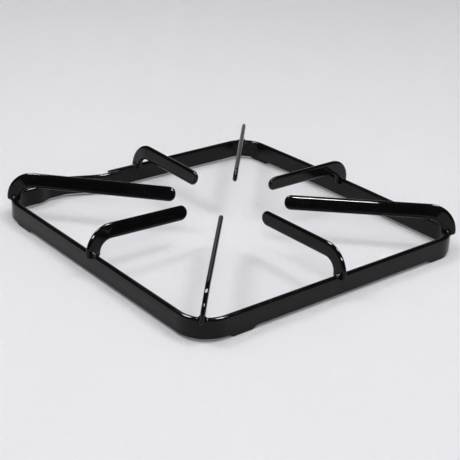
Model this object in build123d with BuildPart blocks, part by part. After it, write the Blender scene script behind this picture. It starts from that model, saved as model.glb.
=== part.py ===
from build123d import *
import os
from math import atan2, cos, degrees, hypot, radians, sin, sqrt, tan

# Hob pan support in millimetres. A flat steel strip stands on edge, bent into a rounded square
# whose two ends lap on the back left side. Eight fingers bent from flat bar are notched over the
# strip, one at each corner and one at the middle of each side, and welded to it.
# The origin is the middle of the finger ring, on the plane that the feet stand on, with +Z up.
# X and Y run along the sides of the square, and the front corner is at +X -Y.

# Strip frame
half_side = 120.0
strip_height = 14.0
strip_thickness = 4.0
strip_edge_ease = 1.2
corner_radius = 22.0

# Back right side, drawn in towards the back corner
back_corner_draw = 3.0
draw_from_middle = 30.0
draw_radius = 600.0

# Closing run of the strip, from the left corner to the lap on the back left side
closing_shift = 3.0
kink_reach = 7.2
kink_radius = 12.0
corner_to_kink = 10.0
kink_length = 10.0
crossing_length = 26.0
lap_approach = 9.0
lap_overlap = 7.0
lap_to_middle = 20.0
lap_clearance = 0.2

# Feet, pressed down from the lower edge of the strip
foot_drop = 2.0
foot_flat = 14.0
foot_corner_ramp = 6.0
foot_inner_ramp = 4.0
foot_edge_ease = 1.0
foot_root = 7.0
left_foot_from_middle = 89.0
front_foot_from_middle = 85.0
right_foot_from_middle = 95.0
back_foot_from_middle = 99.0

# Fingers
bar_depth = 10.9
bar_thickness = 3.0
bar_edge_ease = 0.95
elbow_rise = 18.85
tip_reach = 39.6
tip_round_share = 0.45
elbow_round_share = 0.78
tab_depth = 3.0
tab_round_share = 0.16
notch_clearance = 0.15

# How the fingers were welded on: the direction from the middle, the slip of the leg along the strip,
# the miss of the tip across that direction, the drop of the tip below the elbow, how much deeper the
# notch seats on the strip, and the lean from upright in degrees, all counted anticlockwise
finger_places = {
    "corner_finger_front": (-45, 0.5, -3.5, 1.5, 0.0, 6.0),
    "side_finger_front_right": (0, -1.85, -2.45, 0.6, 0.0, 2.0),
    "corner_finger_right": (45, 0.75, -0.1, 1.5, 0.0, 5.0),
    "side_finger_back_right": (90, 4.5, 3.5, -1.0, 1.5, -6.0),
    "corner_finger_back": (135, 4.1, 1.4, 0.6, 0.0, -5.0),
    "side_finger_back_left": (180, 0.25, 1.6, 0.45, 0.0, -6.0),
    "corner_finger_left": (225, 1.45, 3.6, 0.9, 0.0, -5.0),
    "side_finger_front_left": (270, 0.8, 0.4, 2.45, 0.0, -3.0),
}

# Welds
finger_weld = 2.2
finger_weld_width = 1.6
finger_weld_hollow = 3.3
lap_weld = 2.0

# Places worked out from the sizes above
strip_middle = half_side - strip_thickness / 2
bend_radius = corner_radius - strip_thickness / 2
bend_centre = half_side - corner_radius
strip_bottom = foot_drop
strip_top = foot_drop + strip_height
draw_slope = back_corner_draw / (strip_middle - draw_from_middle)
back_corner = strip_middle - back_corner_draw
back_bend_centre = back_corner + bend_radius * (draw_slope - hypot(1, draw_slope))

# Stations of the closing run along Y, counted from the corner bend and from the middle finger
kink_start = -bend_centre + corner_to_kink
kink_end = kink_start + kink_length
inner_end = -lap_to_middle
outer_end = inner_end - lap_overlap
crossing_end = outer_end - lap_approach
crossing_start = crossing_end - crossing_length
lap_line = -strip_middle + strip_thickness + lap_clearance


def direction(angle):
    """The level unit vector at the angle."""
    return Vector(1, 0, 0).rotate(Axis.Z, angle)


# Middle line of the strip in plan, from its outer end round the square to its inner end
with BuildLine() as strip_line:
    FilletPolyline(
        (-strip_middle, outer_end),
        (-strip_middle, back_corner),
        (-draw_from_middle, strip_middle),
        (strip_middle, strip_middle),
        (strip_middle, -strip_middle),
        (-strip_middle - closing_shift, -strip_middle),
        (-strip_middle - closing_shift, kink_start),
        (-strip_middle - kink_reach, kink_end),
        (-strip_middle - kink_reach, crossing_start),
        (lap_line, crossing_end),
        (lap_line, inner_end),
        radius=[bend_radius, draw_radius] + [bend_radius] * 3 + [kink_radius] * 4,
    )
strip_path = strip_line.wires()[0]
strip_start = Plane(origin=(-strip_middle, outer_end, 0), x_dir=(-1, 0, 0), z_dir=(0, 1, 0))

# Windows that keep the feet: the side that each foot is on, and its place along that side
foot_places = [
    (-90, -left_foot_from_middle),
    (0, -front_foot_from_middle),
    (0, right_foot_from_middle),
    (90, back_foot_from_middle),
]
half_foot = foot_flat / 2
with BuildPart() as foot_windows:
    for side_angle, place in foot_places:
        corner_way = 1 if place > 0 else -1
        corner_end = place + corner_way * (half_foot + foot_corner_ramp)
        middle_end = place - corner_way * (half_foot + foot_inner_ramp)
        outside = direction(side_angle) * (half_side + foot_flat)
        with BuildSketch(Plane(outside, direction(side_angle + 90), direction(side_angle))):
            with BuildLine():
                Polyline(
                    (place - corner_way * half_foot, 0),
                    (place + corner_way * half_foot, 0),
                    (corner_end, foot_drop),
                    (corner_end, foot_root),
                    (middle_end, foot_root),
                    (middle_end, foot_drop),
                    close=True,
                )
            make_face()
        extrude(amount=-(corner_radius + foot_flat))

# The strip's lower part drawn down to the standing plane, kept only inside the foot windows
with BuildPart() as feet:
    with BuildSketch(strip_start) as foot_section:
        with Locations((0, foot_root / 2)):
            Rectangle(strip_thickness, foot_root)
        chamfer(foot_section.vertices().group_by(Axis.Z)[0], foot_edge_ease)
    sweep(path=strip_path)
    add(foot_windows.part, mode=Mode.INTERSECT)

with BuildPart() as frame_band:
    with BuildSketch(strip_start) as strip_section:
        with Locations((0, strip_bottom + strip_height / 2)):
            Rectangle(strip_thickness, strip_height)
        chamfer(strip_section.vertices(), strip_edge_ease)
    sweep(path=strip_path)
    add(feet.part)
frame_band.part.label = "frame_band"

# Each finger's leg stands on the strip's middle line. A corner leg slips round the corner bend.
corner_bends = {
    "corner_finger_front": (bend_centre, -bend_centre),
    "corner_finger_right": (bend_centre, bend_centre),
    "corner_finger_back": (-bend_centre, back_bend_centre),
    "corner_finger_left": (-bend_centre - closing_shift, -bend_centre),
}
half_bar = bar_thickness / 2
leg_height = elbow_rise + tab_depth - bar_depth
elbow_inner_radius = elbow_round_share * leg_height
tab_round = tab_round_share * leg_height
stations = {}
for name, (angle, leg_slip, tip_miss, tip_drop, seat, lean) in finger_places.items():
    half_leg = half_bar / cos(radians(lean)) + (tab_depth + seat) * tan(radians(abs(lean)))
    tip = direction(angle) * tip_reach + direction(angle + 90) * tip_miss
    if name in corner_bends:
        strip_normal = direction(angle + degrees(leg_slip / bend_radius))
        leg = Vector(*corner_bends[name]) + strip_normal * bend_radius
        strip_bow = bend_radius - sqrt(bend_radius**2 - half_leg**2)
    else:
        strip_normal = direction(angle)
        leg = strip_normal * strip_middle + direction(angle + 90) * leg_slip
        strip_bow = 0.0
    skew = radians((leg - tip).get_angle(strip_normal))
    notch_half = strip_thickness / 2 / cos(skew) + half_leg * tan(skew) + notch_clearance
    seat_place = leg + Vector(0, 0, strip_top)
    stations[name] = (seat_place, leg - tip, tip_drop, seat, lean, -notch_half - strip_bow, notch_half)


def make_finger(seat_place, arm, tip_drop, seat, lean, notch_inner, notch_outer):
    """A flat bar bent on edge: a leg notched over the strip, an elbow and an arm to the tip."""
    outward = arm.normalized()
    upright = Plane(seat_place, x_dir=outward, z_dir=outward.cross(Vector(0, 0, 1)))
    leaning_normal = upright.z_dir.rotate(Axis((0, 0, 0), outward), -lean)
    side_view = Plane(seat_place, x_dir=outward, z_dir=leaning_normal)
    reach = arm.length
    slope = atan2(tip_drop, reach)
    leg_outer = bar_depth / 2
    leg_inner = -leg_outer
    leg_foot = -seat - tab_depth
    tip_top = (-reach, elbow_rise - seat - tip_drop)
    tip_bottom = (tip_top[0] + bar_depth * sin(slope), tip_top[1] - bar_depth * cos(slope))
    elbow_top = tip_top[1] + (leg_outer - tip_top[0]) * tan(slope)
    elbow_under = tip_bottom[1] + (leg_inner - tip_bottom[0]) * tan(slope)
    tip_round = tip_round_share * bar_depth
    with BuildPart() as finger:
        with BuildSketch(side_view):
            with BuildLine():
                FilletPolyline(
                    (leg_outer, leg_foot),
                    (leg_outer, elbow_top),
                    tip_top,
                    tip_bottom,
                    (leg_inner, elbow_under),
                    (leg_inner, leg_foot),
                    radius=[
                        tab_round,
                        elbow_inner_radius + bar_depth,
                        tip_round,
                        tip_round,
                        elbow_inner_radius,
                        tab_round,
                    ],
                    close=True,
                )
            make_face()
        extrude(amount=half_bar, both=True)
        chamfer(finger.faces().filter_by(side_view).edges(), bar_edge_ease)
        with BuildSketch(upright):
            with Locations(((notch_inner + notch_outer) / 2, 0)):
                Rectangle(
                    notch_outer - notch_inner,
                    2 * (seat + tab_depth),
                    align=(Align.CENTER, Align.MAX),
                )
        extrude(amount=bar_thickness, both=True, mode=Mode.SUBTRACT)
    return finger.part


fingers = []
for name, station in stations.items():
    finger_part = make_finger(*station)
    finger_part.label = name
    fingers.append(finger_part)

# Weld beads: one on each side of every finger on the strip's top edge, and two along the lap
with BuildPart() as weld_beads:
    for seat_place, arm, _, _, lean, *_ in stations.values():
        outward = arm.normalized()
        bead_plane = Plane(seat_place, outward.rotate(Axis.Z, 90), outward)
        bead_lean = finger_weld * tan(radians(lean))
        for way in (-1, 1):
            flank_foot = way * half_bar / cos(radians(lean))
            bead_end = (flank_foot + way * finger_weld, 0)
            bead_top = (flank_foot + bead_lean, finger_weld)
            with BuildSketch(bead_plane):
                with BuildLine():
                    Polyline(bead_end, (flank_foot, 0), bead_top)
                    RadiusArc(bead_top, bead_end, way * finger_weld_hollow)
                make_face()
            extrude(amount=finger_weld_width / 2, both=True)
    lap_outside = (lap_line - strip_thickness / 2, outer_end)
    lap_inside = (-strip_middle + strip_thickness / 2, inner_end)
    for (x, y), way in ((lap_outside, -1), (lap_inside, 1)):
        with BuildSketch(Plane.XY.offset(strip_bottom + strip_edge_ease)):
            with BuildLine():
                Polyline((x, y), (x + way * lap_weld, y), (x, y + way * lap_weld), close=True)
            make_face()
        extrude(amount=strip_height - 2 * strip_edge_ease)
weld_beads.part.label = "weld_beads"

os.makedirs("parts", exist_ok=True)
for piece in [frame_band.part, *fingers, weld_beads.part]:
    export_step(piece, f"parts/{piece.label}.step")
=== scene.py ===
from math import atan2, cos, degrees, hypot, pi, radians, sin, sqrt, tan

import bpy
from mathutils import Matrix, Vector


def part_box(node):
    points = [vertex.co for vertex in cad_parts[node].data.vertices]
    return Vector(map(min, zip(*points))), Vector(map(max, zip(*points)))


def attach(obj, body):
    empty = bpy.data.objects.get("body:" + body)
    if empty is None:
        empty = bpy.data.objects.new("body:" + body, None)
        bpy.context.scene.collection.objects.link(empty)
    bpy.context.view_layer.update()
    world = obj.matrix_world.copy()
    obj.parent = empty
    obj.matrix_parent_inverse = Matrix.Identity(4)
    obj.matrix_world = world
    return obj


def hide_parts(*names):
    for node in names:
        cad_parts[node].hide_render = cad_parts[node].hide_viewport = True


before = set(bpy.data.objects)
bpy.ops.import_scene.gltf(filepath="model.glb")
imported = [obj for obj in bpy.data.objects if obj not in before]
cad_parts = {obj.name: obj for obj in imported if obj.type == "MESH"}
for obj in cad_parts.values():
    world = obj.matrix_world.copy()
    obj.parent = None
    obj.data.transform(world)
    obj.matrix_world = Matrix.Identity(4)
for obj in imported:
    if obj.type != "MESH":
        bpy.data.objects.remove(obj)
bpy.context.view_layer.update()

bl_info = {
    "name": "Hob Pan Support",
    "version": (1, 0, 0),
    "blender": (4, 5, 0),
    "location": "3D View > Sidebar > Pan Support",
    "description": "Dresses the packed frame of a hob pan support in black enamel",
    "category": "Object",
}

BODY = "root"
MM = 0.001

# How each finger was welded on: the direction from the middle in degrees, then in millimetres the
# slip of the leg along the strip, the miss of the tip, the drop of the tip below the elbow and the
# seat, and last the lean from upright in degrees
FINGERS = {
    "corner_finger_front": (-45, 0.5, -3.5, 1.5, 0.0, 6.0),
    "side_finger_front_right": (0, -1.85, -2.45, 0.6, 0.0, 2.0),
    "corner_finger_right": (45, 0.75, -0.1, 1.5, 0.0, 5.0),
    "side_finger_back_right": (90, 4.5, 3.5, -1.0, 1.5, -6.0),
    "corner_finger_back": (135, 4.1, 1.4, 0.6, 0.0, -5.0),
    "side_finger_back_left": (180, 0.25, 1.6, 0.45, 0.0, -6.0),
    "corner_finger_left": (225, 1.45, 3.6, 0.9, 0.0, -5.0),
    "side_finger_front_left": (270, 0.8, 0.4, 2.45, 0.0, -3.0),
}

# How far bending has twisted the arm of a finger about its own middle line, in degrees
ARM_TWISTS = {
    "side_finger_front_left": -7.0,
    "corner_finger_left": -8.0,
    "side_finger_back_left": -9.0,
    "corner_finger_right": 7.0,
}

# Rings of a swept finger: round the end of the leg, along the bar and round the tip
FOOT_RINGS = 5
BAR_RINGS = 110
TIP_RINGS = 12

# Points on the rounding of a strip's bend, of an elbow, of an edge and of a tab's corner
STRIP_BEND_POINTS = 24
ELBOW_POINTS = 48
EDGE_POINTS = 8
TAB_CORNER_POINTS = 6

# Enamel of each group of pieces: its roughness, the height of its peel in metres, and how much
# rougher its satin patches are
ENAMELS = {
    "strip_enamel": (0.09, 0.00012, 0.06),
    "finger_enamel": (0.03, 0.00003, 0.03),
    "weld_enamel": (0.08, 0.0002, 0.04),
    "lap_weld_enamel": (0.1, 0.0002, 0.05),
}

# Depth of the hollow of a bead in a corner, as a share of its leg
HOLLOW_SHARE = 0.3

# Where the lights and their faces stand, seen from the middle of the floor: the direction and the
# height in degrees, and the distance in metres
LIGHT_PLACES = {
    "ceiling_light": (10, 72, 1.5),
    "left_light": (-130, 55, 1.5),
    "right_light": (52, 67, 1.5),
    "front_light": (-40, 35, 1.2),
    "left_light_face": (-142, 62, 1.5),
    "right_light_face": (52, 67, 1.5),
    "backdrop_face": (140, 14, 3.0),
    "front_light_face": (-40, 35, 1.2),
}

# Values that the trees leave on the points, which the finished meshes don't keep
WORKING_VALUES = (
    "bend_radius",
    "press",
    "foot",
    "ring_place",
    "ring_normal",
    "half_depth",
    "half_thickness",
    "bend",
    "arm",
    "round_side",
    "flat_side",
    "cross",
    "turn",
)


def length(name, description, default, precision=4):
    """A size in metres that the panel shows."""
    return bpy.props.FloatProperty(
        name=name,
        description=description,
        default=default,
        unit="LENGTH",
        precision=precision,
    )


def power(name, description, default):
    """A light's power in watts that the panel shows."""
    return bpy.props.FloatProperty(
        name=name,
        description=description,
        default=default,
        unit="POWER",
        min=0.0,
    )


class StripSizes(bpy.types.PropertyGroup):
    """Sizes of the strip frame."""

    half_side: length("Half side", "Half of the square, outside the strip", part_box("frame_band")[1].x)
    height: length("Height", "Height of the strip without its feet", 0.014)
    thickness: length("Thickness", "Thickness of the strip", 0.004)
    edge_radius: length("Edge radius", "Rounding of the strip's upper edges", 0.0019)
    lower_radius: length("Lower radius", "Rounding of the strip's lower edges", 0.0005)
    corner_radius: length("Corner radius", "Outside radius of the corner bends", 0.022)
    back_draw: length("Back draw", "How far the back corner is drawn in", 0.003)
    draw_start: length("Draw start", "Where the back right side starts to be drawn in", 0.03)
    draw_radius: length("Draw radius", "Radius of the bend where the draw starts", 0.6)
    closing_shift: length("Closing shift", "How far the left corner is set out", 0.003)
    kink_reach: length("Kink reach", "How far the closing run kinks outwards", 0.0072)
    kink_radius: length("Kink radius", "Radius of the closing run's kinks", 0.012)
    lap_bend: length("Lap bend", "Radius of the slow bend into the lap", 0.036)
    corner_to_kink: length("Corner to kink", "From the corner bend to the first kink", 0.01)
    kink_length: length("Kink length", "Length of the kink outwards", 0.01)
    crossing_length: length("Crossing length", "Length of the run that crosses back", 0.026)
    lap_approach: length("Lap approach", "Straight run before the lap", 0.009)
    lap_overlap: length("Lap overlap", "Overlap of the two ends", 0.007)
    lap_to_middle: length("Lap to middle", "From the inner end to the middle of the side", 0.02)
    lap_clearance: length("Lap clearance", "Gap between the two ends at the lap", 0.0002)
    foot_drop: length("Foot drop", "How far the feet are pressed down", 0.002)
    foot_flat: length("Foot flat", "Length of a foot's flat", 0.014)
    foot_ramp: length("Foot ramp", "Length of the ramp at each end of a foot", 0.0045)
    left_foot: length("Left foot", "Left foot from the middle of its side", 0.089)
    front_foot: length("Front foot", "Front foot from the middle of its side", 0.085)
    right_foot: length("Right foot", "Right foot from the middle of its side", 0.095)
    back_foot: length("Back foot", "Back foot from the middle of its side", 0.099)
    step: length("Step", "Distance between the rings of the swept strip", 0.0012)


class FingerSizes(bpy.types.PropertyGroup):
    """Sizes of the fingers."""

    depth: length("Depth", "Depth of the bar on edge", 0.0109)
    thickness: length("Thickness", "Thickness of the bar with its enamel", 0.0034)
    edge_round: length("Edge round", "How far the bar's rounded edges reach into its flanks", 0.002)
    elbow_rise: length("Elbow rise", "Top of the elbow above the strip", 0.01885, 5)
    elbow_radius: length("Elbow radius", "Inside radius of the elbow", 0.00854, 5)
    elbow_fade: length("Elbow fade", "How far the thinning of the elbow fades along the bar", 0.004)
    tip_reach: length("Tip reach", "From the middle of the ring to a tip", 0.0396)
    tip_radius: length("Tip radius", "Rounding of the tip seen from its side", 0.0049)
    tip_edge: length("Tip edge", "Rounding of the tip's edges", 0.0008)
    tab_radius: length("Tab radius", "Rounding of the tabs' lower corners", 0.00175, 5)
    tab_edge: length("Tab edge", "Rounding of the cut end of the leg", 0.0006)
    tab_depth: length("Tab depth", "How far the tabs hang down beside the strip", 0.003)
    notch_clearance: length("Notch clearance", "Gap between the strip and the notch", 0.00015, 5)
    notch_radius: length("Notch radius", "Rounding of the notch over the strip's edge", 0.0019)
    elbow_thinning: bpy.props.FloatProperty(
        name="Elbow thinning",
        description="Share by which bending thins the outside of the elbow and thickens its inside",
        subtype="FACTOR",
        min=0.0,
        max=0.4,
        default=0.1,
    )


class WeldSizes(bpy.types.PropertyGroup):
    """Sizes of the welds under the enamel."""

    finger_weld: length("Finger weld", "Leg of the weld beside a finger", 0.0022)
    tab_fillet: length("Tab fillet", "Leg of the enamel that gathers round a tab", 0.0008)
    lap_weld: length("Lap weld", "Leg of the welds at the lap", 0.002)
    sink: length("Sink", "How far a bead reaches into the metal", 0.0004)


class EnamelColours(bpy.types.PropertyGroup):
    """Colour of the enamel."""

    enamel: bpy.props.FloatVectorProperty(
        name="Enamel",
        description="Colour of the black enamel",
        subtype="COLOR",
        size=3,
        min=0.0,
        max=1.0,
        default=(0.0045, 0.0045, 0.0048),
    )


class StageSettings(bpy.types.PropertyGroup):
    """The floor and the lights of the stage."""

    floor: bpy.props.FloatVectorProperty(
        name="Floor",
        description="Colour of the floor",
        subtype="COLOR",
        size=3,
        min=0.0,
        max=1.0,
        default=(0.80, 0.80, 0.83),
    )
    room: bpy.props.FloatProperty(
        name="Room",
        description="Brightness of the even light of the room, which shows in no reflection",
        min=0.0,
        default=0.35,
    )
    ceiling_size: length("Ceiling size", "Side of the wide light above", 1.6)
    ceiling_power: power("Ceiling power", "Power of the wide light above", 6.5)
    softbox_size: length("Softbox size", "Side of the soft lights on the left and on the right", 0.5)
    left_power: power("Left power", "Power of the soft light on the left", 5.1)
    right_power: power("Right power", "Power of the soft light on the right", 4.5)
    face_size: length("Face size", "Side of the soft lights' faces that show in the gloss", 0.38)
    softbox_glow: bpy.props.FloatProperty(
        name="Softbox glow",
        description="Brightness of the soft lights' faces, which show in the gloss",
        min=0.0,
        default=120.0,
    )
    backdrop_size: length("Backdrop size", "Side of the dim backdrop that shows in the gloss", 2.2)
    backdrop_glow: bpy.props.FloatProperty(
        name="Backdrop glow",
        description="Brightness of the dim backdrop, which shows in the gloss",
        min=0.0,
        default=0.7,
    )
    front_size: length("Front size", "Side of the small light above the camera", 0.16)
    front_power: power("Front power", "Power of the small light above the camera", 1.5)
    front_glow: bpy.props.FloatProperty(
        name="Front glow",
        description="Brightness of the small light's face, which shows in the gloss",
        min=0.0,
        default=300.0,
    )


def direction(degrees_round):
    """The level unit vector at the angle."""
    return Vector((cos(radians(degrees_round)), sin(radians(degrees_round)), 0.0))


def strip_layout(strip):
    """Places along the strip that the frame, the fingers and the welds share."""
    middle = strip.half_side - strip.thickness / 2
    bend = strip.corner_radius - strip.thickness / 2
    bend_centre = strip.half_side - strip.corner_radius
    slope = strip.back_draw / (middle - strip.draw_start)
    back_corner = middle - strip.back_draw
    inner_end = -strip.lap_to_middle
    outer_end = inner_end - strip.lap_overlap
    crossing_end = outer_end - strip.lap_approach
    kink_start = -bend_centre + strip.corner_to_kink
    return {
        "middle": middle,
        "bend": bend,
        "bend_centre": bend_centre,
        "slope": slope,
        "back_corner": back_corner,
        "back_bend_centre": back_corner + bend * (slope - hypot(1, slope)),
        "inner_end": inner_end,
        "outer_end": outer_end,
        "crossing_end": crossing_end,
        "crossing_start": crossing_end - strip.crossing_length,
        "kink_start": kink_start,
        "kink_end": kink_start + strip.kink_length,
        "lap_line": -middle + strip.thickness + strip.lap_clearance,
        "top": strip.foot_drop + strip.height,
    }


def finger_stations(strip, finger):
    """Where each finger stands: its leg on the strip's middle line, its tip and its fit."""
    at = strip_layout(strip)
    centre = at["bend_centre"]
    bends = {
        "corner_finger_front": (centre, -centre, 0.0),
        "corner_finger_right": (centre, centre, 0.0),
        "corner_finger_back": (-centre, at["back_bend_centre"], 0.0),
        "corner_finger_left": (-centre - strip.closing_shift, -centre, 0.0),
    }
    stations = {}
    for name, (angle, slip, miss, drop, seat, lean) in FINGERS.items():
        tip = direction(angle) * finger.tip_reach + direction(angle + 90) * (miss * MM)
        on_bend = name in bends
        if on_bend:
            normal = direction(angle + degrees(slip * MM / at["bend"]))
            leg = Vector(bends[name]) + normal * at["bend"]
        else:
            normal = direction(angle)
            leg = normal * at["middle"] + direction(angle + 90) * (slip * MM)
        stations[name] = {
            "leg": leg,
            "tip": tip,
            "outward": (leg - tip).normalized(),
            "drop": drop * MM,
            "seat": seat * MM,
            "lean": radians(lean),
            "normal": normal,
            "on_bend": on_bend,
        }
    return stations


def new_tree(name, sizes, vectors=()):
    """A geometry tree with named sizes and vectors, a finish, and geometry in and out."""
    tree = bpy.data.node_groups.new(name, "GeometryNodeTree")
    inputs = {"Geometry": "NodeSocketGeometry"}
    inputs.update((size_name, "NodeSocketFloat") for size_name in sizes)
    inputs.update((vector_name, "NodeSocketVector") for vector_name in vectors)
    inputs["Finish"] = "NodeSocketMaterial"
    for socket_name, kind in inputs.items():
        tree.interface.new_socket(socket_name, in_out="INPUT", socket_type=kind)
    tree.interface.new_socket("Geometry", in_out="OUTPUT", socket_type="NodeSocketGeometry")
    given = tree.nodes.new("NodeGroupInput")
    result = tree.nodes.new("NodeGroupOutput")
    return tree, given.outputs, result.inputs["Geometry"]


def add(tree, kind, sockets=None, **settings):
    """Adds a node, sets its settings, and fills its sockets with values or with links."""
    node = tree.nodes.new(kind)
    for setting, value in settings.items():
        setattr(node, setting, value)
    for identifier, value in (sockets or {}).items():
        socket = next(s for s in node.inputs if s.identifier == identifier)
        if isinstance(value, bpy.types.NodeSocket):
            tree.links.new(value, socket)
        else:
            socket.default_value = value
    return node


def maths(tree, operation, first, second=0.0, third=0.0):
    """The output of a math node."""
    values = {"Value": first, "Value_001": second, "Value_002": third}
    return add(tree, "ShaderNodeMath", values, operation=operation).outputs["Value"]


def times(tree, first, second):
    """One number times another."""
    return maths(tree, "MULTIPLY", first, second)


def plus(tree, first, second):
    """One number plus another."""
    return maths(tree, "ADD", first, second)


def minus(tree, first, second):
    """One number minus another."""
    return maths(tree, "SUBTRACT", first, second)


def attribute(tree, name, kind="FLOAT"):
    """The output of a named value of the geometry."""
    named = add(tree, "GeometryNodeInputNamedAttribute", {"Name": name}, data_type=kind)
    return named.outputs["Attribute"]


def store(tree, geometry, name, value, kind="FLOAT"):
    """The geometry with a named value on its points."""
    stored = add(
        tree,
        "GeometryNodeStoreNamedAttribute",
        {"Geometry": geometry, "Name": name, "Value": value},
        data_type=kind,
        domain="POINT",
    )
    return stored.outputs["Geometry"]


def share(tree, value, low, high, interpolation="LINEAR"):
    """How far a value has come from low to high, kept between 0 and 1."""
    limits = {"Value": value, "From Min": low, "From Max": high}
    ranged = add(tree, "ShaderNodeMapRange", limits, interpolation_type=interpolation)
    return ranged.outputs["Result"]


def soft_step(tree, along, place, fade):
    """A soft step from 0 to 1 at the place along the bar."""
    start = minus(tree, place, fade)
    end = plus(tree, place, fade)
    return share(tree, along, start, end, "SMOOTHSTEP")


def quarter_loss(tree, radius, gap):
    """How far a quarter round of the radius falls short, at the gap from its end."""
    left = maths(tree, "MAXIMUM", minus(tree, radius, gap), 0.0)
    radius_squared = times(tree, radius, radius)
    left_squared = times(tree, left, left)
    reach = minus(tree, radius_squared, left_squared)
    return minus(tree, radius, maths(tree, "SQRT", reach))


def joined(tree, x=0.0, y=0.0, z=0.0):
    """A vector made of its three numbers."""
    return add(tree, "ShaderNodeCombineXYZ", {"X": x, "Y": y, "Z": z}).outputs["Vector"]


def parted(tree, vector):
    """The three numbers of a vector."""
    return add(tree, "ShaderNodeSeparateXYZ", {"Vector": vector}).outputs


def vector_sum(tree, first, second):
    """The sum of two vectors."""
    values = {"Vector": first, "Vector_001": second}
    return add(tree, "ShaderNodeVectorMath", values, operation="ADD").outputs["Vector"]


def rounded(tree, curve, radius, points):
    """The curve with its corners rounded."""
    values = {"Curve": curve, "Radius": radius, "Count": points, "Limit Radius": True}
    return add(tree, "GeometryNodeFilletCurve", values, mode="POLY").outputs["Curve"]


def block_section(tree, width, height, radius):
    """A rectangle with rounded corners."""
    values = {"Width": width, "Height": height}
    block = add(tree, "GeometryNodeCurvePrimitiveQuadrilateral", values).outputs["Curve"]
    return rounded(tree, block, radius, EDGE_POINTS)


def hollow_section(tree, leg, sink):
    """The section of a hollow bead in a corner, which reaches a little into both sides."""
    inside = times(tree, sink, -1.0)
    dip = times(tree, leg, HOLLOW_SHARE)
    section = add(tree, "GeometryNodeCurvePrimitiveQuadrilateral", mode="POINTS")
    corners = [(inside, inside), (leg, inside), (dip, dip), (inside, leg)]
    for number, (x, y) in enumerate(corners, 1):
        tree.links.new(joined(tree, x, y), section.inputs[f"Point {number}"])
    return section.outputs["Curve"]


def sweep(tree, curve, section):
    """The section swept along the curve, with closed ends."""
    values = {"Curve": curve, "Profile Curve": section, "Fill Caps": True}
    return add(tree, "GeometryNodeCurveToMesh", values).outputs["Mesh"]


def put(tree, geometry, place=(0.0, 0.0, 0.0), angles=(0.0, 0.0, 0.0)):
    """The geometry turned by the angles and moved to its place."""
    rotation = add(tree, "FunctionNodeEulerToRotation", {"Euler": angles}).outputs["Rotation"]
    values = {"Geometry": geometry, "Translation": place, "Rotation": rotation}
    return add(tree, "GeometryNodeTransform", values).outputs["Geometry"]


def smooth_by_angle(tree, geometry, angle):
    """Smooth shading that keeps edges sharper than the angle."""
    smooth = add(tree, "GeometryNodeSetShadeSmooth", {"Geometry": geometry}, domain="FACE")
    edge = add(tree, "GeometryNodeInputMeshEdgeAngle").outputs["Unsigned Angle"]
    sharp = add(tree, "FunctionNodeCompare", {"A": edge, "B": angle}, operation="GREATER_THAN")
    values = {
        "Geometry": smooth.outputs["Geometry"],
        "Selection": sharp.outputs["Result"],
        "Shade Smooth": False,
    }
    creased = add(tree, "GeometryNodeSetShadeSmooth", values, domain="EDGE")
    return creased.outputs["Geometry"]


def close_tree(tree, geometry, material, result):
    """Ends a tree in Realize Instances and Set Material."""
    real = add(tree, "GeometryNodeRealizeInstances", {"Geometry": geometry})
    values = {"Geometry": real.outputs["Geometry"], "Material": material}
    finished = add(tree, "GeometryNodeSetMaterial", values)
    tree.links.new(finished.outputs["Geometry"], result)


def point_mesh(name, points, edges=(), **numbers):
    """A mesh of points and edges with named numbers on the points."""
    mesh = bpy.data.meshes.new(name)
    mesh.from_pydata([tuple(p) for p in points], [tuple(e) for e in edges], [])
    for number_name, values in numbers.items():
        layer = mesh.attributes.new(number_name, "FLOAT", "POINT")
        layer.data.foreach_set("value", [float(v) for v in values])
    return mesh


def grow(name, base, tree, values):
    """Runs the tree on the base mesh and returns the plain result as a new object."""
    piece = bpy.data.objects.new(name, base)
    bpy.context.scene.collection.objects.link(piece)
    modifier = piece.modifiers.new("shape", "NODES")
    modifier.node_group = tree
    for item in tree.interface.items_tree:
        if item.item_type == "SOCKET" and item.in_out == "INPUT" and item.name in values:
            modifier[item.identifier] = values[item.name]
    bpy.context.view_layer.update()
    shaped = piece.evaluated_get(bpy.context.evaluated_depsgraph_get())
    mesh = bpy.data.meshes.new_from_object(shaped)
    piece.modifiers.remove(modifier)
    piece.data = mesh
    mesh.name = name
    bpy.data.meshes.remove(base)
    for layer_name in WORKING_VALUES:
        layer = mesh.attributes.get(layer_name)
        if layer:
            mesh.attributes.remove(layer)
    if not mesh.polygons:
        raise RuntimeError(f"{name} came out empty")
    return piece


def settle(piece, *nodes):
    """Gives a finished piece its body, and hides the nodes that it stands for."""
    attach(piece, BODY)
    if nodes:
        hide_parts(*nodes)


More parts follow.
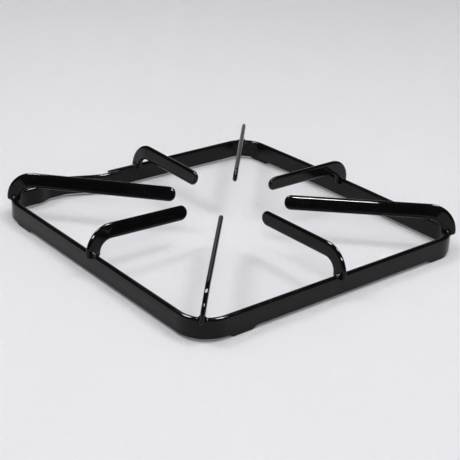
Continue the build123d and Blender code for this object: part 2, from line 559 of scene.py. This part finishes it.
def enamel(name, colour):
    """Black vitreous enamel: a glossy skin with a faint peel, a slow wave and soft mottling."""
    roughness, peel_height, satin = ENAMELS[name]
    darker = 0.75
    lighter = 1.35
    peel_share = 0.25
    bump_strength = 0.35
    material = bpy.data.materials.new(name)
    material.use_nodes = True
    tree = material.node_tree
    shader = tree.nodes["Principled BSDF"].inputs
    place = tree.nodes.new("ShaderNodeTexCoord").outputs["Object"]
    mottle = noise(tree, place, scale=90.0, detail=5.0)
    tint = add(tree, "ShaderNodeValToRGB", {"Fac": mottle})
    dark, light = tint.color_ramp.elements
    dark.position = 0.3
    dark.color = (*[c * darker for c in colour], 1.0)
    light.position = 0.75
    light.color = (*[c * lighter for c in colour], 1.0)
    tree.links.new(tint.outputs["Color"], shader["Base Color"])
    limits = {
        "Value": mottle,
        "From Min": 0.3,
        "From Max": 0.7,
        "To Min": roughness,
        "To Max": roughness + satin,
    }
    gloss = add(tree, "ShaderNodeMapRange", limits)
    tree.links.new(gloss.outputs["Result"], shader["Roughness"])
    peel = noise(tree, place, scale=420.0, detail=2.0)
    wave = noise(tree, place, scale=60.0, detail=1.0)
    skin = maths(tree, "MULTIPLY_ADD", peel, peel_share, wave)
    relief = {"Strength": bump_strength, "Distance": peel_height, "Height": skin}
    bump = add(tree, "ShaderNodeBump", relief)
    tree.links.new(bump.outputs["Normal"], shader["Normal"])
    shader["IOR"].default_value = 1.5
    shader["Specular IOR Level"].default_value = 0.18
    shader["Metallic"].default_value = 0.0
    return material


def noise(tree, place, scale, detail):
    """The output of a noise pattern over the places."""
    values = {"Vector": place, "Scale": scale, "Detail": detail}
    return add(tree, "ShaderNodeTexNoise", values).outputs["Fac"]


class PANSUPPORT_OT_frame_band(bpy.types.Operator):
    """Sweep the round-edged strip round the square, with its lap and its pressed feet"""

    bl_idname = "pan_support.frame_band"
    bl_label = "Frame Band"

    def execute(self, context):
        strip = context.scene.pan_support_strip
        colours = context.scene.pan_support_colours
        at = strip_layout(strip)
        middle = at["middle"]
        bend = at["bend"]
        level = strip.foot_drop + strip.height / 2
        route = [
            (-middle, at["outer_end"], 0.0),
            (-middle, at["back_corner"], bend),
            (-strip.draw_start, middle, strip.draw_radius),
            (middle, middle, bend),
            (middle, -middle, bend),
            (-middle - strip.closing_shift, -middle, bend),
            (-middle - strip.closing_shift, at["kink_start"], strip.kink_radius),
            (-middle - strip.kink_reach, at["kink_end"], strip.kink_radius),
            (-middle - strip.kink_reach, at["crossing_start"], strip.kink_radius),
            (at["lap_line"], at["crossing_end"], strip.lap_bend),
            (at["lap_line"], at["inner_end"], 0.0),
        ]
        half_flat = strip.foot_flat / 2
        back_foot_line = middle - at["slope"] * (strip.back_foot - strip.draw_start)
        foot_rows = [
            (-strip.left_foot, -middle, 1, 0),
            (middle, -strip.front_foot, 0, 1),
            (middle, strip.right_foot, 0, 1),
            (-strip.back_foot, back_foot_line, 1, 0),
        ]
        points = [(x, y, level) for x, y, _ in route]
        radii = [radius for _, _, radius in route]
        marks = [0.0] * len(route)
        edges = [(i, i + 1) for i in range(len(route) - 1)]
        for x, y, along_x, along_y in foot_rows:
            first = len(points)
            points.append((x - along_x * half_flat, y - along_y * half_flat, level))
            points.append((x + along_x * half_flat, y + along_y * half_flat, level))
            radii += [0.0, 0.0]
            marks += [1.0, 1.0]
            edges.append((first, first + 1))
        base = point_mesh("strip_route", points, edges, bend_radius=radii, foot=marks)
        values = {
            "Height": strip.height,
            "Thickness": strip.thickness,
            "Edge Radius": strip.edge_radius,
            "Lower Radius": strip.lower_radius,
            "Foot Drop": strip.foot_drop,
            "Foot Ramp": strip.foot_ramp,
            "Middle Level": level,
            "Step": strip.step,
            "Finish": enamel("strip_enamel", colours.enamel),
        }
        piece = grow("frame_band_enamelled", base, strip_tree(), values)
        settle(piece, "frame_band")
        return {"FINISHED"}


def strip_tree():
    """The strip frame: a rounded section swept along the route, pressed down at the feet."""
    sizes = (
        "Height",
        "Thickness",
        "Edge Radius",
        "Lower Radius",
        "Foot Drop",
        "Foot Ramp",
        "Middle Level",
        "Step",
    )
    tree, given, result = new_tree("Strip frame", sizes)
    is_foot = maths(tree, "GREATER_THAN", attribute(tree, "foot"), 0.5)
    routes = add(
        tree,
        "GeometryNodeSeparateGeometry",
        {"Geometry": given["Geometry"], "Selection": is_foot},
        domain="POINT",
    ).outputs
    line = add(tree, "GeometryNodeMeshToCurve", {"Mesh": routes["Inverted"]}).outputs["Curve"]
    bent = rounded(tree, line, attribute(tree, "bend_radius"), STRIP_BEND_POINTS)
    spacing = {"Curve": bent, "Length": given["Step"]}
    even = add(tree, "GeometryNodeResampleCurve", spacing, mode="LENGTH")
    level = add(tree, "GeometryNodeSetCurveNormal", {"Curve": even.outputs["Curve"]}, mode="Z_UP")
    feet = {"Target": routes["Selection"]}
    nearest = add(tree, "GeometryNodeProximity", feet, target_element="EDGES")
    ramp = {
        "Value": nearest.outputs["Distance"],
        "From Min": 0.0,
        "From Max": given["Foot Ramp"],
        "To Min": given["Foot Drop"],
        "To Max": 0.0,
    }
    press = add(tree, "ShaderNodeMapRange", ramp, interpolation_type="SMOOTHSTEP")
    pressed = store(tree, level.outputs["Curve"], "press", press.outputs["Result"])

    # The section's Y points down in the sweep
    place = parted(tree, add(tree, "GeometryNodeInputPosition").outputs["Position"])
    is_upper = maths(tree, "LESS_THAN", place["Y"], 0.0)
    extra = minus(tree, given["Edge Radius"], given["Lower Radius"])
    radius = maths(tree, "MULTIPLY_ADD", is_upper, extra, given["Lower Radius"])
    section = block_section(tree, given["Thickness"], given["Height"], radius)
    is_lower = maths(tree, "LESS_THAN", place["Z"], given["Middle Level"])
    down = times(tree, attribute(tree, "press"), -1.0)
    footed = add(
        tree,
        "GeometryNodeSetPosition",
        {
            "Geometry": sweep(tree, pressed, section),
            "Selection": is_lower,
            "Offset": joined(tree, z=down),
        },
    )
    shaded = smooth_by_angle(tree, footed.outputs["Geometry"], radians(40))
    close_tree(tree, shaded, given["Finish"], result)
    return tree


class PANSUPPORT_OT_fingers(bpy.types.Operator):
    """Make the eight bent fingers, each notched over the strip where it was welded"""

    bl_idname = "pan_support.fingers"
    bl_label = "Fingers"

    def execute(self, context):
        strip = context.scene.pan_support_strip
        finger = context.scene.pan_support_fingers
        colours = context.scene.pan_support_colours
        at = strip_layout(strip)
        tree = finger_tree()
        finish = enamel("finger_enamel", colours.enamel)
        for name, station in finger_stations(strip, finger).items():
            route, bend_start, bend_end = finger_route(finger, station)
            radii = [0.0, finger.elbow_radius + finger.depth / 2, 0.0]
            base = point_mesh(f"{name}_route", route, [(0, 1), (1, 2)], bend_radius=radii)
            notch_inner, notch_outer = notch_sides(strip, finger, station, at["bend"])
            notch_depth = 2 * (finger.tab_depth + station["seat"])
            leg = station["leg"]
            outward = station["outward"]
            values = {
                "Depth": finger.depth,
                "Thickness": finger.thickness,
                "Edge Round": finger.edge_round,
                "Tip Radius": finger.tip_radius,
                "Tip Edge": finger.tip_edge,
                "Tab Radius": finger.tab_radius,
                "Tab Edge": finger.tab_edge,
                "Bend Start": bend_start,
                "Bend End": bend_end,
                "Bend Fade": finger.elbow_fade,
                "Thinning": finger.elbow_thinning,
                "Twist": radians(ARM_TWISTS.get(name, 0.0)),
                "Notch Width": notch_outer - notch_inner,
                "Notch Depth": notch_depth,
                "Notch Radius": finger.notch_radius,
                "Notch Place": ((notch_inner + notch_outer) / 2, -notch_depth / 2, 0.0),
                "Lean": (-station["lean"], 0.0, 0.0),
                "Leg Place": (leg.x, leg.y, at["top"]),
                "Facing": (radians(90), 0.0, atan2(outward.y, outward.x)),
                "Finish": finish,
            }
            piece = grow(f"{name}_enamelled", base, tree, values)
            settle(piece, name)
        return {"FINISHED"}


def finger_route(finger, station):
    """The bar's middle line from the foot to the tip, and where along it the bend lies."""
    reach = (station["leg"] - station["tip"]).length
    slope = atan2(station["drop"], reach)
    half = finger.depth / 2
    foot = -station["seat"] - finger.tab_depth
    tip_top = finger.elbow_rise - station["seat"] - station["drop"]
    tip_middle = (half * sin(slope) - reach, tip_top - half * cos(slope))
    elbow = tip_middle[1] - tip_middle[0] * tan(slope)
    bend = finger.elbow_radius + half
    turn = radians(90) + slope
    bend_start = elbow - foot - bend * tan(turn / 2)
    route = [(0.0, foot, 0.0), (0.0, elbow, 0.0), (*tip_middle, 0.0)]
    return route, bend_start, bend_start + bend * turn


def notch_sides(strip, finger, station, bend):
    """The inner and the outer side of the notch, counted outwards from the strip's middle line."""
    lean = abs(station["lean"])
    hang = finger.tab_depth + station["seat"]
    half_leg = finger.thickness / 2 / cos(lean) + hang * tan(lean)
    skew = station["outward"].angle(station["normal"])
    side = strip.thickness / 2 / cos(skew) + half_leg * tan(skew) + finger.notch_clearance
    bow = bend - sqrt(bend**2 - half_leg**2) if station["on_bend"] else 0.0
    return -side - bow, side


def finger_tree():
    """A finger: round-edged bar swept up the leg, round the elbow and along the arm."""
    sizes = (
        "Depth",
        "Thickness",
        "Edge Round",
        "Tip Radius",
        "Tip Edge",
        "Tab Radius",
        "Tab Edge",
        "Bend Start",
        "Bend End",
        "Bend Fade",
        "Thinning",
        "Twist",
        "Notch Width",
        "Notch Depth",
        "Notch Radius",
    )
    vectors = ("Notch Place", "Lean", "Leg Place", "Facing")
    tree, given, result = new_tree("Finger", sizes, vectors)
    swept = sweep(tree, finger_rings(tree, given), bar_section(tree))

    # Every point goes to its place in its ring, thinner outside the bend and thicker inside it
    half_depth = attribute(tree, "half_depth")
    edge = maths(tree, "MINIMUM", given["Edge Round"], half_depth)
    flat_half = minus(tree, half_depth, edge)
    flat = times(tree, attribute(tree, "flat_side"), flat_half)
    up_the_side = maths(tree, "MULTIPLY_ADD", attribute(tree, "round_side"), edge, flat)
    outer_share = times(tree, maths(tree, "DIVIDE", up_the_side, given["Depth"]), 2.0)
    thinning = times(tree, given["Thinning"], outer_share)
    kept = minus(tree, 1.0, times(tree, thinning, attribute(tree, "bend")))
    thick = times(tree, attribute(tree, "half_thickness"), kept)
    across = times(tree, attribute(tree, "cross"), thick)

    # The twist turns the ring about the bar's middle line
    twist = times(tree, attribute(tree, "arm"), given["Twist"])
    cosine = maths(tree, "COSINE", twist)
    sine = maths(tree, "SINE", twist)
    side_up = times(tree, up_the_side, cosine)
    twisted_rise = minus(tree, side_up, times(tree, across, sine))
    side_over = times(tree, up_the_side, sine)
    twisted_across = maths(tree, "MULTIPLY_ADD", across, cosine, side_over)
    rise = add(
        tree,
        "ShaderNodeVectorMath",
        {"Vector": attribute(tree, "ring_normal", "FLOAT_VECTOR"), "Scale": twisted_rise},
        operation="SCALE",
    ).outputs["Vector"]
    sideways = joined(tree, z=times(tree, twisted_across, -1.0))
    in_ring = vector_sum(tree, rise, sideways)
    place = vector_sum(tree, attribute(tree, "ring_place", "FLOAT_VECTOR"), in_ring)
    bar = add(tree, "GeometryNodeSetPosition", {"Geometry": swept, "Position": place})

    # The bar leans, and the notch is cut upright over the strip
    leaned = put(tree, bar.outputs["Geometry"], angles=given["Lean"])
    notched = add(
        tree,
        "GeometryNodeMeshBoolean",
        {"Mesh 1": leaned, "Mesh 2": notch_cutter(tree, given)},
        operation="DIFFERENCE",
        solver="EXACT",
    )
    placed = put(tree, notched.outputs["Mesh"], given["Leg Place"], given["Facing"])
    close_tree(tree, smooth_by_angle(tree, placed, radians(35)), given["Finish"], result)
    return tree


def finger_rings(tree, given):
    """A row of rings along the bent bar, each with its place, its normal and its half sizes."""
    line = add(tree, "GeometryNodeMeshToCurve", {"Mesh": given["Geometry"]}).outputs["Curve"]
    bent = rounded(tree, line, attribute(tree, "bend_radius"), ELBOW_POINTS)
    total = add(tree, "GeometryNodeCurveLength", {"Curve": bent}).outputs["Length"]
    index = add(tree, "GeometryNodeInputIndex").outputs["Index"]
    tip_start = FOOT_RINGS + BAR_RINGS
    last_ring = tip_start + TIP_RINGS
    foot_turn = times(tree, share(tree, index, 0.0, FOOT_RINGS), pi / 2)
    along_bar = share(tree, index, FOOT_RINGS, tip_start)
    tip_turn = times(tree, share(tree, index, tip_start, last_ring), pi / 2)
    foot_left = minus(tree, 1.0, maths(tree, "COSINE", foot_turn))
    foot_run = times(tree, foot_left, given["Tab Radius"])
    ends = plus(tree, given["Tab Radius"], given["Tip Radius"])
    bar_run = times(tree, along_bar, minus(tree, total, ends))
    tip_run = times(tree, maths(tree, "SINE", tip_turn), given["Tip Radius"])
    along = plus(tree, plus(tree, foot_run, bar_run), tip_run)
    sample = add(tree, "GeometryNodeSampleCurve", {"Curves": bent, "Length": along}, mode="LENGTH")
    heading = parted(tree, sample.outputs["Tangent"])
    normal = joined(tree, heading["Y"], times(tree, heading["X"], -1.0))

    # The bar narrows in its side view and in its thickness round the tip and at the cut foot
    foot_share = minus(tree, 1.0, maths(tree, "SINE", foot_turn))
    foot_loss = times(tree, foot_share, given["Tab Radius"])
    tip_share = minus(tree, 1.0, maths(tree, "COSINE", tip_turn))
    tip_loss = times(tree, tip_share, given["Tip Radius"])
    loss = plus(tree, foot_loss, tip_loss)
    half_depth = minus(tree, times(tree, given["Depth"], 0.5), loss)
    half = times(tree, given["Thickness"], 0.5)
    tip_thin = quarter_loss(tree, given["Tip Edge"], minus(tree, total, along))
    foot_thin = quarter_loss(tree, given["Tab Edge"], along)
    half_thickness = minus(tree, half, plus(tree, tip_thin, foot_thin))
    bend_in = soft_step(tree, along, given["Bend Start"], given["Bend Fade"])
    bend_out = soft_step(tree, along, given["Bend End"], given["Bend Fade"])
    arm = share(tree, along, given["Bend Start"], given["Bend End"], "SMOOTHSTEP")
    row = add(tree, "GeometryNodeMeshLine", {"Count": last_ring + 1}, mode="OFFSET").outputs["Mesh"]
    row = store(tree, row, "ring_place", sample.outputs["Position"], "FLOAT_VECTOR")
    row = store(tree, row, "ring_normal", normal, "FLOAT_VECTOR")
    row = store(tree, row, "half_depth", half_depth)
    row = store(tree, row, "half_thickness", half_thickness)
    row = store(tree, row, "bend", minus(tree, bend_in, bend_out))
    row = store(tree, row, "arm", arm)
    return add(tree, "GeometryNodeMeshToCurve", {"Mesh": row}).outputs["Curve"]


def bar_section(tree):
    """The bar's section as signs and shares: two half rounds, two flanks and a margin on each."""
    points = 36
    margin_width = 0.15
    ring = {"Resolution": points}
    circle = add(tree, "GeometryNodeCurvePrimitiveCircle", ring, mode="RADIUS").outputs["Curve"]
    index = add(tree, "GeometryNodeInputIndex").outputs["Index"]
    step = 2 * pi / points
    turn = times(tree, plus(tree, index, 0.5), step)
    cosine = maths(tree, "COSINE", turn)
    sine = maths(tree, "SINE", turn)
    up_or_down = maths(tree, "SIGN", cosine)
    left_or_right = maths(tree, "SIGN", sine)
    from_edge = maths(tree, "ARCSINE", maths(tree, "ABSOLUTE", sine))
    margin = maths(tree, "GREATER_THAN", from_edge, pi / 2 - step)
    stretched = times(tree, from_edge, pi / (pi - 3 * step))
    swing = maths(tree, "MINIMUM", stretched, pi / 2)
    flat_share = minus(tree, 1.0, times(tree, margin, margin_width))
    round_side = times(tree, up_or_down, maths(tree, "COSINE", swing))
    flat_side = times(tree, up_or_down, flat_share)
    cross = times(tree, left_or_right, maths(tree, "SINE", swing))
    circle = store(tree, circle, "round_side", round_side)
    circle = store(tree, circle, "flat_side", flat_side)
    return store(tree, circle, "cross", cross)


def notch_cutter(tree, given):
    """An upright block with rounded corners that takes the notch out of the leg's foot."""
    section = block_section(tree, given["Notch Width"], given["Notch Depth"], given["Notch Radius"])
    back = joined(tree, z=times(tree, given["Thickness"], -2.0))
    front = joined(tree, z=times(tree, given["Thickness"], 2.0))
    ends = {"Start": back, "End": front}
    through = add(tree, "GeometryNodeCurvePrimitiveLine", ends, mode="POINTS").outputs["Curve"]
    return put(tree, sweep(tree, through, section), given["Notch Place"])


class PANSUPPORT_OT_finger_welds(bpy.types.Operator):
    """Lay the welds beside the fingers, and the enamel that gathers round the tabs"""

    bl_idname = "pan_support.finger_welds"
    bl_label = "Finger Welds"

    def execute(self, context):
        strip = context.scene.pan_support_strip
        finger = context.scene.pan_support_fingers
        weld = context.scene.pan_support_welds
        colours = context.scene.pan_support_colours
        top = strip_layout(strip)["top"]
        finish = enamel("weld_enamel", colours.enamel)
        bead_points = []
        bead_turns = []
        tab_points = []
        tab_turns = []
        for station in finger_stations(strip, finger).values():
            leg = station["leg"]
            outward = station["outward"]
            normal = station["normal"]
            side = Vector((-outward.y, outward.x, 0.0))
            half_bar = finger.thickness / 2 / cos(station["lean"])
            for way in (-1, 1):
                flank = leg + side * (way * half_bar)
                bead_points.append((flank.x, flank.y, top))
                bead_turns.append(atan2(way * side.y, way * side.x))
                face = leg + outward * (way * strip.thickness / 2)
                tab_points.append((face.x, face.y, top - station["seat"]))
                tab_turns.append(atan2(way * normal.y, way * normal.x))
        base = point_mesh("finger_weld_places", bead_points, turn=bead_turns)
        values = {
            "Weld": weld.finger_weld,
            "Reach": strip.thickness / 2,
            "Sink": weld.sink,
            "Finish": finish,
        }
        beads = grow("finger_welds", base, bead_tree(), values)
        settle(beads, "weld_beads")
        base = point_mesh("tab_fillet_places", tab_points, turn=tab_turns)
        values = {
            "Fillet": weld.tab_fillet,
            "Tab Width": finger.thickness,
            "Tab Depth": finger.tab_depth,
            "Corner Radius": finger.tab_edge,
            "Sink": weld.sink,
            "Finish": finish,
        }
        fillets = grow("tab_enamel_fillets", base, tab_fillet_tree(), values)
        settle(fillets)
        return {"FINISHED"}


def turned_copies(tree, points, shape):
    """Copies of a shape on the points, each turned about Z by its own angle."""
    spin = joined(tree, z=attribute(tree, "turn"))
    rotation = add(tree, "FunctionNodeEulerToRotation", {"Euler": spin}).outputs["Rotation"]
    values = {"Points": points, "Instance": shape, "Rotation": rotation}
    return add(tree, "GeometryNodeInstanceOnPoints", values).outputs["Instances"]


def bead_tree():
    """A hollow bead in the corner between a finger's flank and the strip's rounded top edge."""
    tree, given, result = new_tree("Finger weld", ("Weld", "Reach", "Sink"))
    end_size = 1.05
    covered_share = 0.96
    hollow_power = 2.2
    block = add(
        tree,
        "GeometryNodeMeshCube",
        {"Size": (1.0, 2.0, 1.0), "Vertices X": 9, "Vertices Y": 15, "Vertices Z": 2},
    )
    place = parted(tree, add(tree, "GeometryNodeInputPosition").outputs["Position"])
    along = plus(tree, place["X"], 0.5)
    across = place["Y"]
    upper = plus(tree, place["Z"], 0.5)

    # The bead is largest over the middle of the strip and fades towards its faces
    across_squared = times(tree, across, across)
    fade = maths(tree, "SQRT", minus(tree, end_size, across_squared))
    size = times(tree, fade, given["Weld"])
    span = plus(tree, size, given["Sink"])
    x_place = minus(tree, times(tree, along, span), given["Sink"])
    radius = given["Reach"]
    y_place = times(tree, times(tree, across, radius), covered_share)
    radius_squared = times(tree, radius, radius)
    y_squared = times(tree, y_place, y_place)
    chord = minus(tree, radius_squared, y_squared)
    crown = minus(tree, maths(tree, "SQRT", chord), radius)
    left = minus(tree, 1.0, along)
    hollow = times(tree, maths(tree, "POWER", left, hollow_power), size)
    rise = times(tree, upper, plus(tree, hollow, given["Sink"]))
    z_place = plus(tree, crown, minus(tree, rise, given["Sink"]))
    moved = {"Geometry": block.outputs["Mesh"], "Position": joined(tree, x_place, y_place, z_place)}
    bead = add(tree, "GeometryNodeSetPosition", moved).outputs["Geometry"]
    shaded = smooth_by_angle(tree, bead, radians(60))
    close_tree(tree, turned_copies(tree, given["Geometry"], shaded), given["Finish"], result)
    return tree


def tab_fillet_tree():
    """A thin hollow fillet that runs down, under and up a tab where it meets the strip's face."""
    sizes = ("Fillet", "Tab Width", "Tab Depth", "Corner Radius", "Sink")
    tree, given, result = new_tree("Tab fillet", sizes)
    merge_distance = 0.00001
    start_depth = 1.5
    half = times(tree, given["Tab Width"], 0.5)
    back = times(tree, half, -1.0)
    bottom = times(tree, given["Tab Depth"], -1.0)
    start = times(tree, given["Fillet"], -start_depth)
    corners = [(half, start), (half, bottom), (back, bottom), (back, start)]
    ends = [joined(tree, x, y) for x, y in corners]
    runs = tree.nodes.new("GeometryNodeJoinGeometry")
    for first, second in zip(ends, ends[1:]):
        values = {"Start Location": first, "Offset": second, "Count": 2}
        run = add(tree, "GeometryNodeMeshLine", values, mode="END_POINTS")
        tree.links.new(run.outputs["Mesh"], runs.inputs["Geometry"])
    values = {"Geometry": runs.outputs["Geometry"], "Distance": merge_distance}
    chain = add(tree, "GeometryNodeMergeByDistance", values).outputs["Geometry"]
    line = add(tree, "GeometryNodeMeshToCurve", {"Mesh": chain}).outputs["Curve"]
    bent = rounded(tree, line, given["Corner Radius"], TAB_CORNER_POINTS)
    flat = add(tree, "GeometryNodeSetCurveNormal", {"Curve": bent}, mode="Z_UP").outputs["Curve"]
    swept = sweep(tree, flat, hollow_section(tree, given["Fillet"], given["Sink"]))
    stood = put(tree, swept, angles=(radians(90), 0.0, radians(90)))
    shaded = smooth_by_angle(tree, stood, radians(75))
    close_tree(tree, turned_copies(tree, given["Geometry"], shaded), given["Finish"], result)
    return tree


class PANSUPPORT_OT_lap_welds(bpy.types.Operator):
    """Run the two upright welds that close the lap of the strip"""

    bl_idname = "pan_support.lap_welds"
    bl_label = "Lap Welds"

    def execute(self, context):
        strip = context.scene.pan_support_strip
        weld = context.scene.pan_support_welds
        colours = context.scene.pan_support_colours
        at = strip_layout(strip)
        bottom = strip.foot_drop + strip.lower_radius
        outside = (at["lap_line"] - strip.thickness / 2, at["outer_end"], bottom)
        inside = (-at["middle"] + strip.thickness / 2, at["inner_end"], bottom)
        base = point_mesh("lap_weld_places", [outside, inside], turn=[pi, 0.0])
        values = {
            "Weld": weld.lap_weld,
            "Run": strip.height - strip.lower_radius - strip.edge_radius,
            "Sink": weld.sink,
            "Finish": enamel("lap_weld_enamel", colours.enamel),
        }
        piece = grow("lap_welds", base, lap_weld_tree(), values)
        settle(piece)
        return {"FINISHED"}


def lap_weld_tree():
    """A hollow bead that stands upright in the corner of the lap."""
    tree, given, result = new_tree("Lap weld", ("Weld", "Run", "Sink"))
    rings = 12
    ends = {"Start": (0.0, 0.0, 0.0), "End": joined(tree, z=given["Run"])}
    line = add(tree, "GeometryNodeCurvePrimitiveLine", ends, mode="POINTS").outputs["Curve"]
    spacing = {"Curve": line, "Count": rings}
    even = add(tree, "GeometryNodeResampleCurve", spacing, mode="COUNT").outputs["Curve"]
    swept = sweep(tree, even, hollow_section(tree, given["Weld"], given["Sink"]))
    shaded = smooth_by_angle(tree, swept, radians(75))
    close_tree(tree, turned_copies(tree, given["Geometry"], shaded), given["Finish"], result)
    return tree


class PANSUPPORT_OT_stage(bpy.types.Operator):
    """Set the pale floor, the soft studio light and the camera"""

    bl_idname = "pan_support.stage"
    bl_label = "Stage"

    def execute(self, context):
        stage = context.scene.pan_support_stage
        strip = context.scene.pan_support_strip
        lay_floor(stage.floor)
        light_studio(context.scene, stage)
        place_camera(context.scene, strip_layout(strip)["top"])
        return {"FINISHED"}


def lay_floor(colour):
    """A wide pale floor under the feet."""
    half = 4.0
    mesh = bpy.data.meshes.new("floor")
    corners = [(-half, -half, 0.0), (half, -half, 0.0), (half, half, 0.0), (-half, half, 0.0)]
    mesh.from_pydata(corners, [], [(0, 1, 2, 3)])
    floor = bpy.data.objects.new("floor", mesh)
    bpy.context.scene.collection.objects.link(floor)
    material = bpy.data.materials.new("pale_floor")
    material.use_nodes = True
    shader = material.node_tree.nodes["Principled BSDF"]
    shader.inputs["Base Color"].default_value = (*colour, 1.0)
    shader.inputs["Roughness"].default_value = 0.9
    shader.inputs["Specular IOR Level"].default_value = 0.1
    mesh.materials.append(material)


def facing_middle(name):
    """The place of a light, which faces the middle of the floor."""
    azimuth, elevation, distance = LIGHT_PLACES[name]
    level = direction(azimuth) * cos(radians(elevation))
    away = level + Vector((0.0, 0.0, sin(radians(elevation))))
    turn = away.to_track_quat("Z", "Y").to_matrix().to_4x4()
    return Matrix.Translation(away * distance) @ turn


def soft_light(name, size, power_watts):
    """A square soft light on the floor and the pieces, which shows in no reflection."""
    lamp = bpy.data.lights.new(name, "AREA")
    lamp.shape = "SQUARE"
    lamp.size = size
    lamp.energy = power_watts
    light = bpy.data.objects.new(name, lamp)
    bpy.context.scene.collection.objects.link(light)
    light.matrix_world = facing_middle(name)
    light.visible_glossy = False


def light_face(name, size, glow):
    """The bright face of a soft light, which shows only as a highlight on the gloss."""
    half = size / 2
    place = facing_middle(name)
    corners = [(-half, -half, 0.0), (half, -half, 0.0), (half, half, 0.0), (-half, half, 0.0)]
    mesh = bpy.data.meshes.new(name)
    mesh.from_pydata([place @ Vector(corner) for corner in corners], [], [(3, 2, 1, 0)])
    face = bpy.data.objects.new(name, mesh)
    bpy.context.scene.collection.objects.link(face)
    material = bpy.data.materials.new(name)
    material.use_nodes = True
    shader = material.node_tree.nodes["Principled BSDF"]
    shader.inputs["Base Color"].default_value = (0.0, 0.0, 0.0, 1.0)
    shader.inputs["Emission Color"].default_value = (1.0, 1.0, 1.0, 1.0)
    shader.inputs["Emission Strength"].default_value = glow
    material.cycles.emission_sampling = "NONE"
    mesh.materials.append(material)
    face.visible_camera = False
    face.visible_diffuse = False
    face.visible_transmission = False
    face.visible_shadow = False


def light_studio(scene, stage):
    """An even room, a wide light above, a soft light on each side and one above the camera."""
    world = bpy.data.worlds.new("even_room")
    world.use_nodes = True
    background = world.node_tree.nodes["Background"]
    background.inputs["Color"].default_value = (1.0, 1.0, 1.0, 1.0)
    background.inputs["Strength"].default_value = stage.room
    scene.world = world
    world.cycles_visibility.glossy = False
    soft_light("ceiling_light", stage.ceiling_size, stage.ceiling_power)
    soft_light("left_light", stage.softbox_size, stage.left_power)
    soft_light("right_light", stage.softbox_size, stage.right_power)
    soft_light("front_light", stage.front_size, stage.front_power)
    light_face("left_light_face", stage.face_size, stage.softbox_glow)
    light_face("right_light_face", stage.face_size, stage.softbox_glow)
    light_face("backdrop_face", stage.backdrop_size, stage.backdrop_glow)
    light_face("front_light_face", stage.front_size, stage.front_glow)
    scene.view_settings.view_transform = "Standard"


def place_camera(scene, strip_top):
    """The camera at the photograph's viewing angle, aimed a little under the strip's top."""
    azimuth = radians(49.9918)
    elevation = radians(24.6744)
    roll = radians(2.5268)
    distance = 0.81903
    focal_pixels = 1120.1135
    image_side = 460
    middle_column = 229.3134
    middle_row = 213.1516
    offset_right = (middle_column - image_side / 2) / focal_pixels * distance
    offset_down = (middle_row - image_side / 2) / focal_pixels * distance
    back = Vector((sin(azimuth) * cos(elevation), -cos(azimuth) * cos(elevation), sin(elevation)))
    right = Vector((cos(azimuth), sin(azimuth), 0.0))
    up = back.cross(right)
    turned_right = right * cos(roll) + up * sin(roll)
    turned_up = up * cos(roll) - right * sin(roll)
    aim = Vector((0.0, 0.0, strip_top)) - turned_right * offset_right + turned_up * offset_down
    lens = bpy.data.cameras.new("camera")
    lens.sensor_width = 36.0
    lens.lens = focal_pixels / image_side * lens.sensor_width
    lens.clip_start = 0.01
    camera = bpy.data.objects.new("camera", lens)
    scene.collection.objects.link(camera)
    turn = Matrix((turned_right, turned_up, back)).transposed().to_4x4()
    camera.matrix_world = Matrix.Translation(aim + back * distance) @ turn
    scene.camera = camera


class PANSUPPORT_PT_panel(bpy.types.Panel):
    """Lists the pieces of the pan support and their sizes"""

    bl_idname = "PANSUPPORT_PT_panel"
    bl_label = "Pan Support"
    bl_space_type = "VIEW_3D"
    bl_region_type = "UI"
    bl_category = "Pan Support"

    def draw(self, context):
        for operator in OPERATORS:
            self.layout.operator(operator.bl_idname)
        for group_name in GROUPS:
            group = getattr(context.scene, group_name)
            box = self.layout.box()
            for size_name in group.__annotations__:
                box.prop(group, size_name)


OPERATORS = (
    PANSUPPORT_OT_frame_band,
    PANSUPPORT_OT_fingers,
    PANSUPPORT_OT_finger_welds,
    PANSUPPORT_OT_lap_welds,
    PANSUPPORT_OT_stage,
)
GROUPS = {
    "pan_support_strip": StripSizes,
    "pan_support_fingers": FingerSizes,
    "pan_support_welds": WeldSizes,
    "pan_support_colours": EnamelColours,
    "pan_support_stage": StageSettings,
}


def register():
    for group in GROUPS.values():
        bpy.utils.register_class(group)
    for operator in OPERATORS:
        bpy.utils.register_class(operator)
    bpy.utils.register_class(PANSUPPORT_PT_panel)
    for group_name, group in GROUPS.items():
        setattr(bpy.types.Scene, group_name, bpy.props.PointerProperty(type=group))


def unregister():
    for group_name in GROUPS:
        delattr(bpy.types.Scene, group_name)
    bpy.utils.unregister_class(PANSUPPORT_PT_panel)
    for operator in reversed(OPERATORS):
        bpy.utils.unregister_class(operator)
    for group in reversed(list(GROUPS.values())):
        bpy.utils.unregister_class(group)


def main():
    register()
    bpy.ops.pan_support.frame_band()
    bpy.ops.pan_support.fingers()
    bpy.ops.pan_support.finger_welds()
    bpy.ops.pan_support.lap_welds()
    bpy.ops.pan_support.stage()


if __name__ == "__main__":
    main()
